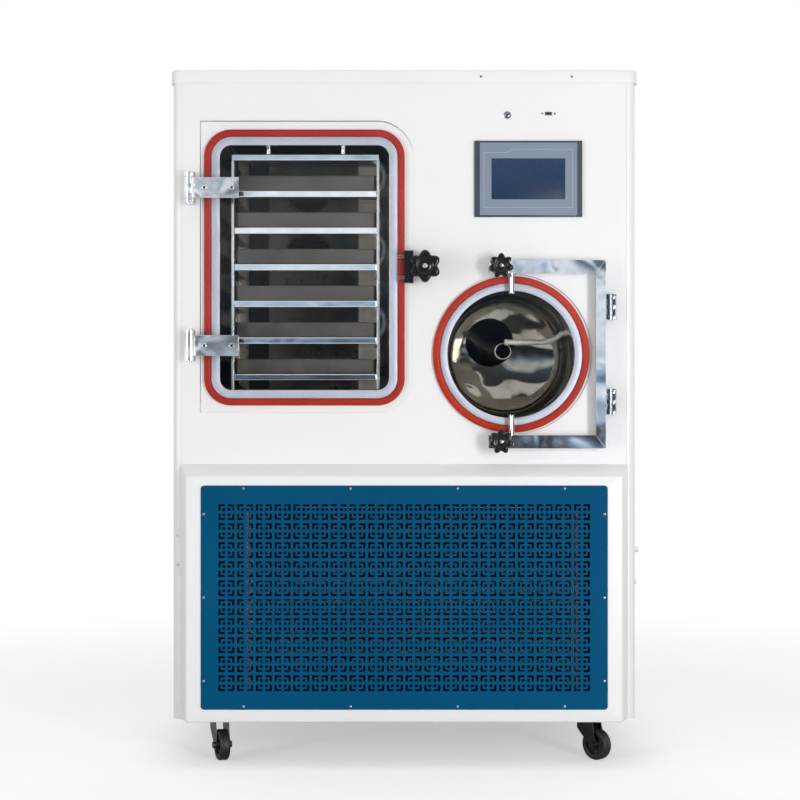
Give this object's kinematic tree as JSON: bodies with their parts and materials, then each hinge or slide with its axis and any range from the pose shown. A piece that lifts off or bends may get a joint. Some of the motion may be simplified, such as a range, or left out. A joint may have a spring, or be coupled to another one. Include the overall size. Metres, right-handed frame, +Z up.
{
  "type": "freeze dryer",
  "caption": "Floor-standing freeze dryer: rectangular shelf chamber with a clear hinged door, round cold trap with a clamped clear disc, ventilated base on swivel casters.",
  "frame": {"origin": "on the floor under the centre of the object's box", "axes": "+X to the right as seen from the front, +Y into the back, +Z up"},
  "size_m": [1, 0.8112, 1.461],
  "materials": {
    "white_paint": "satin powder coat",
    "grille_paint": "satin powder coat",
    "frame_paint": "matt grey paint",
    "screw_steel": "bright",
    "polished_steel": "polished stainless steel",
    "vessel_steel": "mirror polished stainless steel",
    "shelf_steel": "polished stainless steel",
    "tray_steel": "dull stainless steel",
    "red_silicone": "soft silicone",
    "white_silicone": "translucent silicone",
    "clear_acrylic": "clear polished acrylic",
    "black_plastic": "black moulded plastic",
    "panel_grey": "satin",
    "screen_glass": "glossy",
    "machine_black": "semi-gloss black",
    "caster_black": "black",
    "wheel_rubber": "rubber",
    "fin_aluminium": "mill finish",
    "copper": "bare copper"
  },
  "bodies": {
    "cabinet": {"frame": "frame_paint", "side_panel_left": "white_paint", "side_panel_right": "white_paint", "back_panel": "white_paint", "top_cover": "white_paint", "front_panel": "white_paint", "front_surround": "white_paint", "grille_panel": "grille_paint", "grille_screws": "screw_steel", "panel_screws": "screw_steel", "caster_plates": "caster_black", "drying_chamber": "vessel_steel", "chamber_seal": "red_silicone", "hinge_seats": "polished_steel", "stud_bosses": "polished_steel", "hinge_pins": "polished_steel", "shelf_rack": "vessel_steel", "shelves": "shelf_steel", "trays": "tray_steel", "shelf_hoses": "white_silicone", "trap_barrel": "vessel_steel", "trap_seal": "red_silicone", "fixed_leaves": "polished_steel", "suction_pipe": "vessel_steel", "defrost_tube": "polished_steel", "vapour_duct": "vessel_steel", "hmi_housing": "panel_grey", "hmi_screen": "screen_glass", "button_bezel": "polished_steel", "usb_socket": "polished_steel", "compressor": "machine_black", "fin_pack": "fin_aluminium", "coil_tubes": "copper", "fan_shroud": "frame_paint", "side_fittings": "polished_steel", "oil_pump": "frame_paint", "control_box": "frame_paint", "power_inlet": "black_plastic"},
    "door": {"chamber_door": "clear_acrylic", "hinge_straps": "polished_steel", "door_screws": "screw_steel", "latch_block": "black_plastic"},
    "latch": {"latch_knob": "black_plastic", "latch_stud": "polished_steel"},
    "trap_frame": {"trap_door_frame": "polished_steel", "moving_leaves": "polished_steel", "disc_pins": "polished_steel"},
    "disc": {"trap_disc": "clear_acrylic"},
    "clamp_upper": {"clamp_knob_upper": "black_plastic"},
    "clamp_lower": {"clamp_knob_lower": "black_plastic"},
    "button": {"button_cap": "black_plastic"},
    "fan": {"fan_rotor": "machine_black"},
    "fork_fl": {"caster_fork_fl": "caster_black"},
    "wheel_fl": {"caster_wheel_fl": "wheel_rubber"},
    "fork_fr": {"caster_fork_fr": "caster_black"},
    "wheel_fr": {"caster_wheel_fr": "wheel_rubber"},
    "fork_rl": {"caster_fork_rl": "caster_black"},
    "wheel_rl": {"caster_wheel_rl": "wheel_rubber"},
    "fork_rr": {"caster_fork_rr": "caster_black"},
    "wheel_rr": {"caster_wheel_rr": "wheel_rubber"}
  },
  "joints": [
    {"name": "door_hinge", "type": "hinge", "parent": "cabinet", "child": "door", "pos_m": [-0.456, -0.37315, 1.046], "axis": [0, 0, -1], "range_deg": [0, 165]},
    {"name": "latch_turn", "type": "hinge", "parent": "door", "child": "latch", "pos_m": [0.033, -0.37065, 1.046], "axis": [0, 1, 0], "continuous": true},
    {"name": "frame_hinge", "type": "hinge", "parent": "cabinet", "child": "trap_frame", "pos_m": [0.42, -0.35315, 0.8642], "axis": [0, 0, 1], "range_deg": [0, 110]},
    {"name": "disc_swivel", "type": "hinge", "parent": "trap_frame", "child": "disc", "pos_m": [0.214, -0.35315, 0.8642], "axis": [0, 0, 1], "range_deg": [-12, 12]},
    {"name": "clamp_upper_turn", "type": "hinge", "parent": "trap_frame", "child": "clamp_upper", "pos_m": [0.191, -0.35315, 1.0467], "axis": [0, 1, 0], "continuous": true},
    {"name": "clamp_lower_turn", "type": "hinge", "parent": "trap_frame", "child": "clamp_lower", "pos_m": [0.191, -0.35315, 0.6817], "axis": [0, 1, 0], "continuous": true},
    {"name": "button_push", "type": "slide", "parent": "cabinet", "child": "button", "axis": [0, 1, 0], "range_m": [0, 0.002], "stiffness_N_per_m": 500, "springref_m": -0.002},
    {"name": "fan_spin", "type": "hinge", "parent": "cabinet", "child": "fan", "pos_m": [0.007, -0.23035, 0.345], "axis": [0, 1, 0], "continuous": true},
    {"name": "caster_swivel_fl", "type": "hinge", "parent": "cabinet", "child": "fork_fl", "pos_m": [-0.406, -0.24535, 0.0855], "axis": [0, 0, 1], "continuous": true},
    {"name": "wheel_spin_fl", "type": "hinge", "parent": "fork_fl", "child": "wheel_fl", "pos_m": [-0.39848, -0.26602, 0.033], "axis": [0.9397, 0.342, 0], "continuous": true},
    {"name": "caster_swivel_fr", "type": "hinge", "parent": "cabinet", "child": "fork_fr", "pos_m": [0.386, -0.24535, 0.0855], "axis": [0, 0, 1], "continuous": true},
    {"name": "wheel_spin_fr", "type": "hinge", "parent": "fork_fr", "child": "wheel_fr", "pos_m": [0.40156, -0.26091, 0.033], "axis": [0.7071, 0.7071, 0], "continuous": true},
    {"name": "caster_swivel_rl", "type": "hinge", "parent": "cabinet", "child": "fork_rl", "pos_m": [-0.406, 0.28465, 0.0855], "axis": [0, 0, 1], "continuous": true},
    {"name": "wheel_spin_rl", "type": "hinge", "parent": "fork_rl", "child": "wheel_rl", "pos_m": [-0.40031, 0.2634, 0.033], "axis": [0.9659, 0.2588, 0], "continuous": true},
    {"name": "caster_swivel_rr", "type": "hinge", "parent": "cabinet", "child": "fork_rr", "pos_m": [0.386, 0.28465, 0.0855], "axis": [0, 0, 1], "continuous": true},
    {"name": "wheel_spin_rr", "type": "hinge", "parent": "fork_rr", "child": "wheel_rr", "pos_m": [0.38218, 0.26298, 0.033], "axis": [0.9848, -0.1736, 0], "continuous": true}
  ],
  "couplings": [
    {"joint": "disc_swivel", "follows": "frame_hinge", "ratio": -0.1}
  ]
}
